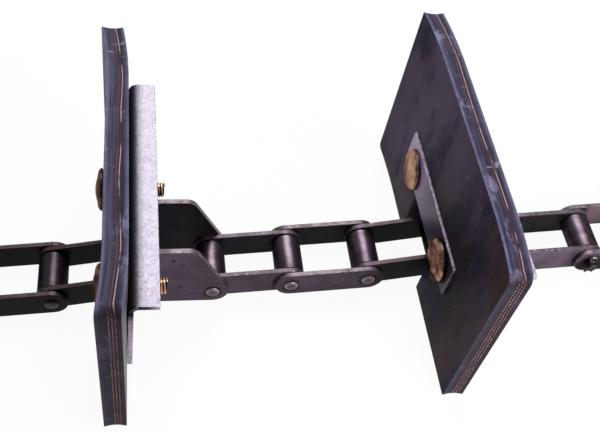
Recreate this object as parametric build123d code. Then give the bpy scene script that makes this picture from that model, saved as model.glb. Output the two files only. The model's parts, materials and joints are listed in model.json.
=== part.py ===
from build123d import *
from math import asin, atan2, cos, degrees, hypot, radians, sin
import os

# A strand of steel roller conveyor chain that lies on its plate edges, with two upright rubber paddles.
# Row frame: +X along the chain, +Y along the pins, +Z up. The floor is z = 0, under the strand's middle.
# Every link is drawn in its own frame: the left pin's axis is the origin, +X runs to the right pin.

# Chain
PITCH = 41.4
PLATE_DEPTH = 16.5
PLATE_T = 2.7
INNER_WIDTH = 22.4
SIDE_GAP = 0.3
PIN_D = 5.74
BUSH_D = 8.6
ROLLER_D = 15.5
ROLLER_END_GAP = 0.3
PIN_CLEARANCE = 0.06
ROLLER_CLEARANCE = 0.08
RIVET_D = 7.2
RIVET_H = 1.2
RIVET_CHAMFER = 0.8

# Links from left to right: what each one is
LINKS = ["inner", "outer", "inner", "paddle", "inner", "outer", "inner", "paddle", "inner",
         "connecting", "inner"]

# Bent ears of the attachment plates
EAR_TOP = 35.2
EAR_DEPTH = 16.5
EAR_SLOPE = 61.3
EAR_CORNER_R = 7.0
WING_TIP = 40.5
WING_CORNER_R = 4.0
WING_LEAN = 1.2
BEND_R = 2.7
BOLT_Y = 30.0

# Paddle, angle and strap, stacked along X on the bolts
PADDLE_LENGTH = 168.0
PADDLE_T = 10.7
PADDLE_TOP = 90.3
PADDLE_BOTTOM = -12.8
PADDLE_REAR = -1.8
PADDLE_FLAT = 92.0
PADDLE_CURL_R = 265.0
FRONT_TOP_R = 5.0
BACK_BOTTOM_R = 3.0
CUT_CORNER_R = 1.0
NOTCH_WIDTH = 39.0
NOTCH_TOP = 17.0
NOTCH_R = 4.0
ANGLE_LENGTH = 134.0
ANGLE_T = 2.3
ANGLE_TOP = 67.2
ANGLE_BOTTOM = 17.6
ANGLE_FLANGE = 13.4
ANGLE_BEND_R = 2.5
STRAP_LENGTH = 90.0
STRAP_T = 1.6
STRAP_DEPTH = 20.5
STRAP_RISE = 3.0

# Bolts and nuts
BOLT_D = 8.0
BOLT_LENGTH = 31.0
HEAD_D = 22.5
HEAD_H = 4.2
HEAD_RIM = 0.8
NECK = 8.0
NECK_LENGTH = 4.4
HOLE_D = 8.5
SQUARE_GAP = 0.1
NUT_FLATS = 13.0
NUT_T = 6.6

# Connecting link: pins that stand out in front, and their cotters
PIN_TAIL = 4.6
PIN_TIP_CHAMFER = 0.6
COTTER_D = 1.1
COTTER_GAP = 0.1
COTTER_EYE_R = 1.9
COTTER_LEG = 7.4
COTTER_SPREAD = 2.2
COTTER_HOLE_D = 2.6
COTTER_INSET = 2.1

# Worked out
PLATE_R = PLATE_DEPTH / 2
INNER_FACE = INNER_WIDTH / 2
OUTER_FACE = INNER_FACE + PLATE_T + SIDE_GAP
OUTSIDE = OUTER_FACE + PLATE_T
EAR_BOTTOM = EAR_TOP - EAR_DEPTH
BOLT_Z = EAR_TOP - EAR_DEPTH / 2
ANGLE_REAR = PADDLE_REAR + ANGLE_T
WING_REAR = ANGLE_REAR + PLATE_T
BEND_END = WING_REAR + BEND_R
PADDLE_FRONT = PADDLE_REAR - PADDLE_T
STRAP_FRONT = PADDLE_FRONT - STRAP_T

# The fold lines of the wings lean back about (ANGLE_REAR, BOLT_Z), and with them all that the wings carry
FOOT_X = ANGLE_REAR + ((PADDLE_REAR - ANGLE_REAR) * cos(radians(WING_LEAN))
                       + (PADDLE_BOTTOM - BOLT_Z) * sin(radians(WING_LEAN)))
FOOT_Z = BOLT_Z + ((PADDLE_BOTTOM - BOLT_Z) * cos(radians(WING_LEAN))
                   - (PADDLE_REAR - ANGLE_REAR) * sin(radians(WING_LEAN)))

# At rest a paddle link stands on its right pin's link and on the paddle's rear bottom edge
REACH = hypot(PITCH - FOOT_X, FOOT_Z)
REST_TILT = degrees(atan2(-FOOT_Z, PITCH - FOOT_X) - asin(PLATE_R / REACH))


def link_tilts():
    """Each link's rest angle in degrees, positive when it rises to the right."""
    tilts = []
    for index, kind in enumerate(LINKS):
        before_paddle = index + 1 < len(LINKS) and LINKS[index + 1] == "paddle"
        if kind == "paddle":
            tilts.append(-REST_TILT)
        elif before_paddle:
            tilts.append(REST_TILT)
        else:
            tilts.append(0.0)
    return tilts


def pin_places(tilts):
    """The pin centres (x, z), from left to right, with the strand's middle at x = 0."""
    span = sum(PITCH * cos(radians(tilt)) for tilt in tilts)
    places = [(-span / 2, PLATE_R)]
    for tilt in tilts:
        x, z = places[-1]
        places.append((x + PITCH * cos(radians(tilt)), z + PITCH * sin(radians(tilt))))
    return places


def crosswise(radius, start, end, x=0.0):
    """A cylinder along Y from start to end, centred on (x, 0) in the link's side view."""
    middle = (start + end) / 2
    return Pos(x, middle, 0) * Rot(90, 0, 0) * Cylinder(radius, end - start)


def lengthwise(radius, start, end, y, z):
    """A cylinder along X from start to end."""
    return Pos((start + end) / 2, y, z) * Rot(0, 90, 0) * Cylinder(radius, end - start)


def back_plate(outline, inner_face, bore_d):
    """A flat plate on the +Y side, with its inner face at inner_face and a hole at each pin."""
    plate = Pos(0, inner_face + PLATE_T, 0) * extrude(Plane.XZ * outline, PLATE_T)
    for x in (0, PITCH):
        plate -= crosswise(bore_d / 2, inner_face - 1, inner_face + PLATE_T + 1, x)
    return plate


def to_front(shape):
    return mirror(shape, about=Plane.XZ)


# Inner links

def inner_plate():
    return back_plate(SlotCenterToCenter(PITCH, PLATE_DEPTH).moved(Pos(PITCH / 2, 0)), INNER_FACE, BUSH_D)


def bush():
    length = INNER_FACE + PLATE_T
    tube = crosswise(BUSH_D / 2, -length, length)
    return tube - crosswise(PIN_D / 2 + PIN_CLEARANCE, -length - 1, length + 1)


def roller():
    length = INNER_FACE - ROLLER_END_GAP
    body = crosswise(ROLLER_D / 2, -length, length)
    return body - crosswise(BUSH_D / 2 + ROLLER_CLEARANCE, -length - 1, length + 1)


# Outer links

def outer_plate(bore_d=PIN_D):
    return back_plate(SlotCenterToCenter(PITCH, PLATE_DEPTH).moved(Pos(PITCH / 2, 0)), OUTER_FACE, bore_d)


def rivet_head():
    """The low head that closes a pin against the outside of the back plate."""
    disc = crosswise(RIVET_D / 2, OUTSIDE, OUTSIDE + RIVET_H)
    return chamfer(disc.edges().group_by(Axis.Y)[-1], RIVET_CHAMFER)


def riveted_pin():
    head = rivet_head()
    return crosswise(PIN_D / 2, -OUTSIDE, OUTSIDE) + head + to_front(head)


# Attachment plates: an outer plate that rises to an ear, which is bent outwards across the chain

def attachment_outline():
    left_round = Circle(PLATE_R)
    right_round = Pos(PITCH, 0) * Circle(PLATE_R)
    slope = radians(EAR_SLOPE)
    corner_z = EAR_TOP - EAR_CORNER_R
    corner_x = PITCH + (PLATE_R - EAR_CORNER_R - corner_z * cos(slope)) / sin(slope)
    corner = Pos(corner_x, corner_z) * Circle(EAR_CORNER_R)
    lean = Pos(ANGLE_REAR, BOLT_Z) * Rot(0, 0, -WING_LEAN) * Pos(-ANGLE_REAR, -BOLT_Z)
    ear_side = lean * Line((BEND_END, EAR_BOTTOM), (BEND_END, EAR_TOP))
    neck_side = Line((BEND_END, 0), ear_side @ 0)
    neck = make_hull(left_round.edges() + right_round.edges() + neck_side.edges())
    shoulder = make_hull(ear_side.edges() + corner.edges() + right_round.edges())
    return neck + shoulder


def bent_ear():
    """The ear with its bend: seen from above, an L that turns out of the plate into the wing."""
    wing_x = WING_REAR - PLATE_T / 2
    plate_y = OUTER_FACE + PLATE_T / 2
    path = FilletPolyline((wing_x, WING_TIP), (wing_x, plate_y), (BEND_END + 1, plate_y),
                          radius=BEND_R + PLATE_T / 2)
    ear = Pos(0, 0, EAR_BOTTOM) * extrude(trace(path, PLATE_T), EAR_DEPTH)
    tip_corners = ear.edges().filter_by(Axis.X).group_by(Axis.Y)[-1]
    return fillet(tip_corners, WING_CORNER_R)


def leaned(shape):
    """Leans a shape back with the wings."""
    return Pos(ANGLE_REAR, 0, BOLT_Z) * Rot(0, WING_LEAN, 0) * Pos(-ANGLE_REAR, 0, -BOLT_Z) * shape


def attachment_plate():
    ear = bent_ear() - lengthwise(HOLE_D / 2, ANGLE_REAR - 1, WING_REAR + 1, BOLT_Y, BOLT_Z)
    return back_plate(attachment_outline(), OUTER_FACE, PIN_D) + leaned(ear)


# The paddle and what clamps it

def paddle_plan():
    """The paddle from above: flat where it is clamped, its two ends curled gently forwards."""
    x = PADDLE_REAR - PADDLE_T / 2
    flat = PADDLE_FLAT / 2
    curl = (PADDLE_LENGTH - PADDLE_FLAT) / 2
    curl_angle = degrees(asin(curl / PADDLE_CURL_R))
    straight = Line((x, -flat), (x, flat))
    back_curl = CenterArc((x - PADDLE_CURL_R, flat), PADDLE_CURL_R, 0, curl_angle)
    front_curl = CenterArc((x - PADDLE_CURL_R, -flat), PADDLE_CURL_R, -curl_angle, curl_angle)
    return trace(front_curl + straight + back_curl, PADDLE_T)


def paddle_side():
    """The paddle seen along the chain: corners as the knife left them, and a notch that clears the chain."""
    height = PADDLE_TOP - PADDLE_BOTTOM
    side = Pos(0, PADDLE_BOTTOM + height / 2) * Rectangle(PADDLE_LENGTH, height)
    front_y, back_y = -PADDLE_LENGTH / 2, PADDLE_LENGTH / 2
    for y, z, radius in ((front_y, PADDLE_TOP, FRONT_TOP_R), (back_y, PADDLE_BOTTOM, BACK_BOTTOM_R),
                         (front_y, PADDLE_BOTTOM, CUT_CORNER_R), (back_y, PADDLE_TOP, CUT_CORNER_R)):
        corner = side.vertices().sort_by_distance((y, z))[0]
        side = fillet(corner, radius)
    notch = Pos(0, NOTCH_TOP - height / 2) * RectangleRounded(NOTCH_WIDTH, height, NOTCH_R)
    return side - notch


def paddle():
    height = PADDLE_TOP - PADDLE_BOTTOM
    slab = Pos(0, 0, PADDLE_BOTTOM) * extrude(paddle_plan(), height)
    slab &= extrude(Plane.YZ * paddle_side(), 3 * PADDLE_T, both=True)
    pocket = NECK + 2 * SQUARE_GAP
    pocket_depth = NECK_LENGTH - STRAP_T + SQUARE_GAP
    for y in (-BOLT_Y, BOLT_Y):
        slab -= lengthwise(HOLE_D / 2, PADDLE_FRONT - 1, PADDLE_REAR + 1, y, BOLT_Z)
        slab -= Pos(PADDLE_FRONT + pocket_depth / 2, y, BOLT_Z) * Box(pocket_depth, pocket, pocket)
    return slab


def angle():
    """Sheet steel angle behind the paddle: a deep leg down to the bolts, a short flange at the top."""
    leg_x = PADDLE_REAR + ANGLE_T / 2
    flange_z = ANGLE_TOP - ANGLE_T / 2
    path = FilletPolyline((leg_x, ANGLE_BOTTOM), (leg_x, flange_z), (PADDLE_REAR + ANGLE_FLANGE, flange_z),
                          radius=ANGLE_BEND_R + ANGLE_T / 2)
    bar = extrude(Plane.XZ * trace(path, ANGLE_T), ANGLE_LENGTH / 2, both=True)
    for y in (-BOLT_Y, BOLT_Y):
        bar -= lengthwise(HOLE_D / 2, PADDLE_REAR - 1, ANGLE_REAR + 1, y, BOLT_Z)
    return bar


def strap():
    """Flat bar in front of the paddle, a little high on its bolts, with square holes that stop their turning."""
    bar = Pos(PADDLE_FRONT - STRAP_T / 2, 0, BOLT_Z + STRAP_RISE) * Box(STRAP_T, STRAP_LENGTH, STRAP_DEPTH)
    for y in (-BOLT_Y, BOLT_Y):
        square = NECK + 2 * SQUARE_GAP
        bar -= Pos(PADDLE_FRONT - STRAP_T / 2, y, BOLT_Z) * Box(2 * STRAP_T, square, square)
    return bar


def bolt(y):
    """Mushroom-head bolt with a square neck under its wide, low dome."""
    crown = HEAD_H - HEAD_RIM
    ball_r = ((HEAD_D / 2) ** 2 + crown ** 2) / (2 * crown)
    blank = lengthwise(HEAD_D / 2, STRAP_FRONT - HEAD_H, STRAP_FRONT, y, BOLT_Z)
    head = blank & (Pos(STRAP_FRONT - HEAD_H + ball_r, y, BOLT_Z) * Sphere(ball_r))
    neck = Pos(STRAP_FRONT + NECK_LENGTH / 2, y, BOLT_Z) * Box(NECK_LENGTH, NECK, NECK)
    return head + neck + lengthwise(BOLT_D / 2, STRAP_FRONT, STRAP_FRONT + BOLT_LENGTH, y, BOLT_Z)


def nut(y):
    hexagon = RegularPolygon(NUT_FLATS / 2, 6, major_radius=False)
    body = extrude(hexagon - Circle(BOLT_D / 2), NUT_T)
    return Pos(WING_REAR, y, BOLT_Z) * Rot(0, 90, 0) * body


# Connecting link: pins riveted in the back plate, a loose front plate, a cotter through each pin

def cottered_pin():
    tip = -OUTSIDE - PIN_TAIL
    shank = crosswise(PIN_D / 2, tip, OUTSIDE)
    shank = chamfer(shank.edges().group_by(Axis.Y)[0], PIN_TIP_CHAMFER)
    pin = shank + rivet_head()
    return pin - Pos(0, tip + COTTER_INSET, 0) * Cylinder(COTTER_HOLE_D / 2, 2 * PIN_D)


def cotter():
    """Split cotter: an eye above the pin, two legs down through it, spread below."""
    leg_x = (COTTER_D + COTTER_GAP) / 2
    top = PIN_D / 2 + COTTER_D
    bottom = top - COTTER_LEG
    eye_z = top + (COTTER_EYE_R ** 2 - leg_x ** 2) ** 0.5
    start = degrees(asin(leg_x / COTTER_EYE_R))
    eye = CenterArc((0, eye_z), COTTER_EYE_R, start - 90, 360 - 2 * start)
    right_leg = Line((leg_x, bottom), (leg_x, top))
    right_tip = Line((leg_x + COTTER_SPREAD, bottom - COTTER_SPREAD), (leg_x, bottom))
    pieces = trace(eye, COTTER_D) + trace(right_leg, COTTER_D) + trace(right_tip, COTTER_D)
    pieces += trace(mirror(right_leg, about=Plane.YZ), COTTER_D)
    pieces += trace(mirror(right_tip, about=Plane.YZ), COTTER_D)
    flat = extrude(Plane.XZ * pieces, COTTER_D / 2, both=True)
    return Pos(0, -OUTSIDE - PIN_TAIL + COTTER_INSET, 0) * flat


def at_both_pins(shape):
    return [shape, Pos(PITCH, 0, 0) * shape]


def at_both_bolts(make):
    return [leaned(make(-BOLT_Y)), leaned(make(BOLT_Y))]


def link_pieces(kind):
    """The pieces of one kind of link in its own frame: name ending and list of solids."""
    if kind == "inner":
        back = inner_plate()
        return {"front_plate": [to_front(back)], "back_plate": [back], "bushes": at_both_pins(bush())}
    if kind == "outer":
        back = outer_plate()
        return {"front_plate": [to_front(back)], "back_plate": [back], "pins": at_both_pins(riveted_pin())}
    if kind == "connecting":
        loose = to_front(outer_plate(PIN_D + 2 * PIN_CLEARANCE))
        return {"loose_plate": [loose], "back_plate": [outer_plate()],
                "pins": at_both_pins(cottered_pin()), "cotters": at_both_pins(cotter())}
    back = attachment_plate()
    return {"front_plate": [to_front(back)], "back_plate": [back], "pins": at_both_pins(riveted_pin()),
            "paddle": [leaned(paddle())], "angle": [leaned(angle())], "strap": [leaned(strap())],
            "bolts": at_both_bolts(bolt), "nuts": at_both_bolts(nut)}


def main():
    os.makedirs("parts", exist_ok=True)
    tilts = link_tilts()
    pins = pin_places(tilts)
    made = {kind: link_pieces(kind) for kind in sorted(set(LINKS))}
    one_roller = roller()
    for number, (kind, tilt, (x, z)) in enumerate(zip(LINKS, tilts, pins), start=1):
        place = Pos(x, 0, z) * Rot(0, -tilt, 0)
        for ending, solids in made[kind].items():
            placed = Compound([place * solid for solid in solids])
            export_step(placed, f"parts/{kind}_link_{number:02d}_{ending}.step")
        if kind == "inner":
            for end in (0, 1):
                seat = place * Pos(end * PITCH, 0, 0) * one_roller
                export_step(seat, f"parts/roller_{number + end:02d}.step")


main()
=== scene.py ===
import json
from math import acos, asin, atan2, cos, hypot, pi, radians, sin, sqrt

import bmesh
import bpy
from mathutils import Matrix, Vector

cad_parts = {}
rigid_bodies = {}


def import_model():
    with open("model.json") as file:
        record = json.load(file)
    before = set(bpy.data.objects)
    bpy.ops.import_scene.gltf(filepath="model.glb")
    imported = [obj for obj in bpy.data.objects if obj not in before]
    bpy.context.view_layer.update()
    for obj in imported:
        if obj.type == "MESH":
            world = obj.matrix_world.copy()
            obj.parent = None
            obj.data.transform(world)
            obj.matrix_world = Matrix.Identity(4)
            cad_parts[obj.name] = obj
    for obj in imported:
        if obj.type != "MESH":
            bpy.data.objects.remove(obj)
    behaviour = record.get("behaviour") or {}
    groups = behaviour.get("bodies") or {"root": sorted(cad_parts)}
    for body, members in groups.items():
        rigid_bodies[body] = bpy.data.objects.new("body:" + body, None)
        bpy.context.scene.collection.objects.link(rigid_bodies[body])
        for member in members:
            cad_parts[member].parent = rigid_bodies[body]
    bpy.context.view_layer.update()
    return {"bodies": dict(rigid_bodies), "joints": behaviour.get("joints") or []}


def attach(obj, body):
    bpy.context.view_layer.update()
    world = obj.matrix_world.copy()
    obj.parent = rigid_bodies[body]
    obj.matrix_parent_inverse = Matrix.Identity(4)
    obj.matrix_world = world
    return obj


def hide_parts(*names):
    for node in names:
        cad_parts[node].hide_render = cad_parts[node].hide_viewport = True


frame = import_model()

# A strand of roller conveyor chain with two rubber paddles.
# Every piece is drawn in millimetres in its own link's frame: the left pin's axis is the origin,
# +X runs to the right pin, +Y along the pins and +Z up. It is then put in place on its link.
MM = 0.001

# Chain
PITCH = 41.4
PLATE_R = 8.25
PLATE_T = 2.7
INNER_FACE = 11.2
OUTER_FACE = 14.2
OUTSIDE = 16.9
PIN_R = 2.87
PIN_SLIP = 0.06
BUSH_R = 4.3
ROLLER_R = 7.75
ROLLER_BORE_R = 4.38
ROLLER_HALF = 10.9
RIVET_R = 3.6
RIVET_H = 1.2
RIVET_SEAT = OUTSIDE - 0.05
PLATE_BREAK = 0.3

# Bent ears, whose fold lines lean back about (ANGLE_REAR, BOLT_Z) with all that they carry
EAR_TOP = 35.2
EAR_BOTTOM = 18.7
EAR_SLOPE = 61.3
EAR_CORNER_R = 7.0
WING_TIP = 40.5
WING_CORNER_R = 4.0
WING_LEAN = 1.2
BEND_R = 2.7
BOLT_Y = 30.0
BOLT_Z = 26.95

# Paddle, angle and strap
PADDLE_HALF = 84.0
PADDLE_FRONT = -12.5
PADDLE_REAR = -1.8
PADDLE_TOP = 90.3
PADDLE_BOTTOM = -12.8
PADDLE_FLAT = 46.0
PADDLE_CURL_R = 265.0
FAR_FOOT_CURL = 0.6
FRONT_TOP_R = 5.0
BACK_BOTTOM_R = 3.0
CUT_CORNER_R = 1.0
FOOT_CORNER_R = 0.6
DISH_DEPTH = 0.8
LIP_DEPTH = 0.3
PLY_RIDGE = 0.12
NOTCH_HALF = 19.5
NOTCH_TOP = 17.0
NOTCH_R = 4.0
ANGLE_HALF = 67.0
ANGLE_T = 2.3
ANGLE_REAR = PADDLE_REAR + ANGLE_T
ANGLE_TOP = 67.2
ANGLE_BOTTOM = 17.6
ANGLE_FLANGE_X = 11.6
ANGLE_BEND_R = 2.5
ANGLE_BREAK = 0.35
STRAP_HALF = 45.0
STRAP_T = 1.6
STRAP_DEPTH = 20.5
STRAP_RISE = 3.0
STRAP_BREAK = 0.3

# Bolts and nuts
WING_REAR = ANGLE_REAR + PLATE_T
BEND_END = WING_REAR + BEND_R
STRAP_FRONT = PADDLE_FRONT - STRAP_T
BOLT_R = 4.0
BOLT_END = STRAP_FRONT + 31.0
HEAD_R = 11.25
HEAD_H = 4.2
HEAD_RIM = 0.8
NECK = 8.0
NECK_LENGTH = 4.4
NUT_FLATS = 13.0
NUT_T = 6.6
NUT_FACE_R = NUT_FLATS / 2 * 0.97
NUT_BORE_R = BOLT_R + 0.15
THREAD_PITCH = 1.41
THREAD_ROOT_R = 3.25

# Cottered pins
PIN_TAIL = 4.6
PIN_TIP_BREAK = 0.6
COTTER_R = 0.55
COTTER_EYE_R = 1.9
COTTER_LEG = 7.4
COTTER_BEND_R = 1.2
COTTER_TOE = 1.7
COTTER_INSET = 2.1

# The fabric plies of the belting: how deep each lies, and how strongly it shows
PLIES = [(-7.15, 0.04), (-5.75, 0.12), (-4.4, 1.0)]
PLY_HALF = 0.34
CORD_SPACING = 2.1

# Painted shadow of the paddles, in metres along the whole strand. A pair says where it begins and where it is
# full. The grease is a spot at one cotter, the unshaded end is where the inside faces lose their painted
# shade, and the head shade is painted shade on the first paddle's bolt heads.
PADDLE_SHADOW_END = (-0.106, -0.118)
PADDLE_SHADOW_LINK = 0.045
PADDLE_SHADOW_HALF = (0.022, 0.016)
COTTER_GREASE = (0.146, -0.019, 0.004)
GREASE_REACH = (0.012, 0.008)
UNSHADED_END = (0.150, 0.154)
FIRST_PADDLE_HEAD_SHADE = (-0.08, -0.1)

# A darker patch on each paddle's front cover, near its front bolt
COVER_DARK_PATCH = (PADDLE_FRONT, -42, 32)

# A round dimple that the die left in each ear, as relief in the plates' material
DIMPLE = (20.3, 0, 28.4)

# Facets round a full turn, or round a bend
ROLLER_FACETS = 56
PIN_FACETS = 40
BORE_FACETS = 32
HEAD_FACETS = 56
SHANK_FACETS = 32
NUT_FACETS = 48
BEND_FACETS = 8

# Edges sharper than this, in radians, are broken. Past the crease, in degrees, they are shaded sharp.
BREAK_ANGLE = 0.7
CREASE = 38

# The lean of the wings and of all that they carry, about their fold line
LEAN = (Matrix.Translation((ANGLE_REAR, 0, BOLT_Z)) @ Matrix.Rotation(radians(WING_LEAN), 4, "Y")
        @ Matrix.Translation((-ANGLE_REAR, 0, -BOLT_Z)))


# Materials

def srgb(code):
    """An sRGB hex colour as a linear RGBA."""
    values = [int(code[i:i + 2], 16) / 255 for i in (1, 3, 5)]
    return [v / 12.92 if v <= 0.04045 else ((v + 0.055) / 1.055) ** 2.4 for v in values] + [1.0]


def add(tree, kind, inputs, take=0, **settings):
    """Adds a shader node with its settings and links, and returns the output that is wanted from it."""
    made = tree.nodes.new("ShaderNode" + kind)
    for name, value in settings.items():
        setattr(made, name, value)
    for name, value in inputs.items():
        if isinstance(value, bpy.types.NodeSocket):
            tree.links.new(value, made.inputs[name])
        else:
            made.inputs[name].default_value = srgb(value) if isinstance(value, str) else value
    return made.outputs if take is None else made.outputs[take]


def lay_over(tree, under, over, pattern, start, full, most=1.0):
    """Lays one colour over another: not at all where the pattern is at its start, most where it is full."""
    share = add(tree, "MapRange", {0: pattern, 1: start, 2: full, 4: most})
    return add(tree, "Mix", {0: share, 6: under, 7: over}, 2, data_type="RGBA")


def streaks(tree, place, scale, detail, turn=(0, 0, 0), roughness=0.5):
    """Noise with a scale of its own along each axis, which draws it out."""
    place = add(tree, "Mapping", {"Vector": place, "Rotation": turn, "Scale": scale})
    return add(tree, "TexNoise", {"Vector": place, "Scale": 1.0, "Detail": detail, "Roughness": roughness})


def times(tree, value, *factors):
    """The product of several patterns."""
    for factor in factors:
        value = add(tree, "Math", {0: value, 1: factor}, operation="MULTIPLY")
    return value


def away_from(tree, value, middle):
    """How far a value is from a middle one, on either side."""
    beyond = add(tree, "Math", {0: value, 1: middle}, operation="SUBTRACT")
    return add(tree, "Math", {0: beyond}, operation="ABSOLUTE")


def start_finish(name, **constants):
    """A new material with its node tree, and two places for patterns: drawn millimetres, and metres."""
    material = bpy.data.materials.new(name)
    material.use_nodes = True
    tree = material.node_tree
    for socket, value in constants.items():
        tree.nodes["Principled BSDF"].inputs[socket.replace("_", " ")].default_value = value
    drawn = add(tree, "Attribute", {}, "Vector", attribute_name="drawn")
    row = add(tree, "TexCoord", {}, "Object")
    return material, tree, drawn, row


def finish(tree, colour, height, millimetres, worn=None, smooth=0.5, rough=0.5, start=0.3, full=0.7):
    """Gives the shader its colour and its relief of so many millimetres. A worn pattern takes the roughness
    from smooth to rough."""
    shader = tree.nodes["Principled BSDF"]
    tree.links.new(colour, shader.inputs["Base Color"])
    relief = add(tree, "Bump", {"Height": height, "Distance": millimetres * MM})
    tree.links.new(relief, shader.inputs["Normal"])
    if worn is not None:
        roughness = add(tree, "MapRange", {0: worn, 1: start, 2: full, 3: smooth, 4: rough})
        tree.links.new(roughness, shader.inputs["Roughness"])


def pin_reach(tree, drawn):
    """How far a point is from the nearer pin's axis, in millimetres."""
    x, _, z = add(tree, "SeparateXYZ", {0: drawn}, None)
    along = add(tree, "Math", {0: PITCH / 2, 1: away_from(tree, x, PITCH / 2)}, operation="SUBTRACT")
    flat = add(tree, "CombineXYZ", {0: along, 2: z})
    return add(tree, "VectorMath", {0: flat}, "Value", operation="LENGTH")


def paddle_shadow_and_grease(tree, row):
    """Where the strand is painted black: painted shadow of the paddles over all of it ahead of the first
    paddle and the link before the second, and grease round the first cotter."""
    x, _, _ = add(tree, "SeparateXYZ", {0: row}, None)
    first = add(tree, "MapRange", {0: x, 1: PADDLE_SHADOW_END[0], 2: PADDLE_SHADOW_END[1]})
    second = away_from(tree, x, PADDLE_SHADOW_LINK)
    second = add(tree, "MapRange", {0: second, 1: PADDLE_SHADOW_HALF[0], 2: PADDLE_SHADOW_HALF[1]})
    shared = add(tree, "Math", {0: first, 1: second}, operation="MAXIMUM")
    greased = add(tree, "VectorMath", {0: row, 1: COTTER_GREASE}, "Value", operation="DISTANCE")
    greased = add(tree, "MapRange", {0: greased, 1: GREASE_REACH[0], 2: GREASE_REACH[1]})
    return add(tree, "Math", {0: shared, 1: greased}, operation="MAXIMUM")


def heat_treated_plate():
    """Heat-treated carbon steel with its dark scale: a matt purple-grey in cloudy patches, with rub marks
    along the plate, a black ring round each pin that is grease and painted shade, and rust that creeps out of
    it."""
    material, tree, drawn, row = start_finish("heat_treated_plate_steel", Specular_IOR_Level=0.06)
    patches = add(tree, "TexNoise", {"Vector": row, "Scale": 1000 / 12, "Detail": 3.0})
    colour = lay_over(tree, "#4c404d", "#605261", patches, 0.35, 0.65)
    smudge = add(tree, "TexNoise", {"Vector": row, "Scale": 1000 / 6, "Detail": 5.0})
    colour = lay_over(tree, colour, "#2f2731", smudge, 0.56, 0.72, 0.6)
    reach = pin_reach(tree, drawn)
    ragged = add(tree, "Math", {0: smudge, 1: 6.0, 2: reach}, operation="MULTIPLY_ADD")
    colour = lay_over(tree, colour, "#563c37", ragged, 10.5, 6.5, 0.5)
    # The black ring at each pin's head is grease and painted shade.
    colour = lay_over(tree, colour, "#171315", ragged, 8.4, 6.9)
    rubs = streaks(tree, drawn, (0.05, 0.8, 0.8), 2.0)
    colour = lay_over(tree, colour, "#7c6c7a", rubs, 0.62, 0.76, 0.3)
    dimple = add(tree, "VectorMath", {0: drawn, 1: (1, 0, 1)}, operation="MULTIPLY")
    dimple = add(tree, "VectorMath", {0: dimple, 1: DIMPLE}, "Value", operation="DISTANCE")
    dimple = add(tree, "MapRange", {0: dimple, 1: 1.2, 2: 0.6})
    # The dimple is also painted darker, as painted shade in its hollow.
    colour = add(tree, "Mix", {0: dimple, 6: colour, 7: "#241d24"}, 2, data_type="RGBA")
    # Painted shadow of the paddles, and grease round one cotter, blacken the plate.
    colour = lay_over(tree, colour, "#0a090a", paddle_shadow_and_grease(tree, row), 0.0, 1.0, 0.96)
    grain = add(tree, "TexNoise", {"Vector": drawn, "Scale": 2.0, "Detail": 4.0})
    height = add(tree, "Math", {0: grain, 1: rubs}, operation="ADD")
    height = add(tree, "Math", {0: dimple, 1: -6.0, 2: height}, operation="MULTIPLY_ADD")
    finish(tree, colour, height, 0.05, grain, 0.42, 0.58)
    return material


def painted_shade_inside():
    """The same plates where they face the rollers: painted shade leaves them nearly black, apart from the
    unshaded end of the strand."""
    material, tree, _, row = start_finish("painted_shade_inside_face", Specular_IOR_Level=0.05, Roughness=0.5)
    shade_pattern = add(tree, "TexNoise", {"Vector": row, "Scale": 1000 / 7, "Detail": 4.0})
    colour = lay_over(tree, "#151416", "#262329", shade_pattern, 0.35, 0.7)
    x, _, _ = add(tree, "SeparateXYZ", {0: row}, None)
    # The inside faces are left unshaded at the right end of the strand.
    colour = lay_over(tree, colour, "#67545f", x, *UNSHADED_END)
    rust = add(tree, "TexNoise", {"Vector": row, "Scale": 1000 / 3, "Detail": 5.0})
    colour = lay_over(tree, colour, "#33231e", rust, 0.6, 0.75, 0.5)
    finish(tree, colour, rust, 0.04)
    return material


def worn_edge(name, low, high):
    """The plates' sheared edges, rubbed bare: torn across the thickness, with brown dirt left in the low
    places and bright glints on the high ones."""
    material, tree, drawn, row = start_finish(name, Metallic=0.4, Specular_IOR_Level=0.4)
    tears = streaks(tree, drawn, (1.3, 0.2, 1.3), 4.0)
    colour = lay_over(tree, low, high, tears, 0.35, 0.68)
    dirt = add(tree, "TexNoise", {"Vector": row, "Scale": 1000 / 7, "Detail": 6.0, "Roughness": 0.6})
    colour = lay_over(tree, colour, "#382d33", dirt, 0.46, 0.6, 0.85)
    glint = streaks(tree, row, (350, 900, 900), 3.0)
    colour = lay_over(tree, colour, "#b8a7ad", glint, 0.64, 0.74, 0.9)
    # Painted shadow of the paddles, and grease round one cotter, darken the edges brown.
    colour = lay_over(tree, colour, "#3a2523", paddle_shadow_and_grease(tree, row), 0.0, 1.0, 0.8)
    finish(tree, colour, tears, 0.15, tears, 0.34, 0.55)
    return material


def turned_steel(name, dark, light, metallic, across, polish):
    """Turned and hardened steel: faint rings round its axis, tempered brown in patches, and darker where the
    painted shadow of the paddles and the grease round one cotter lie. Polish is the roughness."""
    material, tree, drawn, row = start_finish(name, Metallic=metallic, Specular_Tint=srgb("#54464d"))
    patches = add(tree, "TexNoise", {"Vector": row, "Scale": 1000 / 6, "Detail": 4.0})
    colour = lay_over(tree, dark, light, patches, 0.35, 0.66)
    turned = add(tree, "Mapping", {"Vector": drawn, "Scale": across})
    rings = add(tree, "TexNoise", {"Vector": turned, "Scale": 2.2, "Detail": 3.0})
    colour = lay_over(tree, colour, "#43353a", rings, 0.45, 0.75, 0.25)
    # Painted shadow of the paddles, and grease round one cotter, darken the steel.
    colour = lay_over(tree, colour, "#231c20", paddle_shadow_and_grease(tree, row), 0.0, 1.0, 0.6)
    finish(tree, colour, rings, 0.004, rings, polish - 0.02, polish + 0.04)
    return material


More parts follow.
